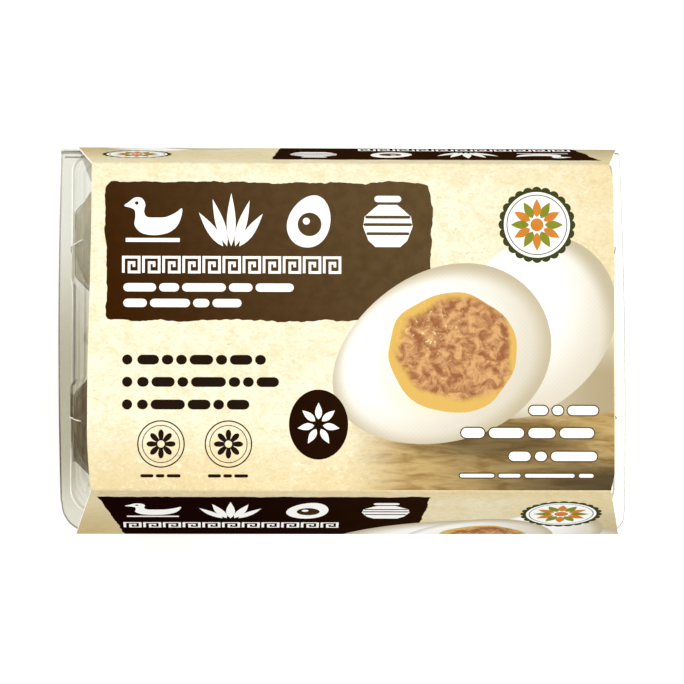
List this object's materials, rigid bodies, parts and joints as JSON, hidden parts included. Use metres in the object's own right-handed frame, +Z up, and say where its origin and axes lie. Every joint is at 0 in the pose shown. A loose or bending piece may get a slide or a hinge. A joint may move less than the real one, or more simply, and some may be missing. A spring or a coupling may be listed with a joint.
{
  "type": "salted duck egg pack",
  "caption": "Shut retail pack of cooked salted duck eggs: a clear hinged plastic box with eggs standing in cups, inside a folded printed card sleeve.",
  "frame": {"origin": "the middle of the pack's foot, on the surface it lies on", "axes": "+X along the pack's long side, +Y towards the clear box's hinge, +Z up through the sleeve's printed face"},
  "size_m": [0.1602, 0.1096, 0.066],
  "materials": {
    "printed_card": "satin printed board",
    "clear_plastic": "clear thermoformed sheet",
    "egg_shell": "matte shell"
  },
  "bodies": {
    "root": {"sleeve": "printed_card", "clear_box": "clear_plastic", "egg_1": "egg_shell", "egg_2": "egg_shell", "egg_3": "egg_shell", "egg_4": "egg_shell", "egg_5": "egg_shell", "egg_6": "egg_shell"}
  },
  "joints": []
}
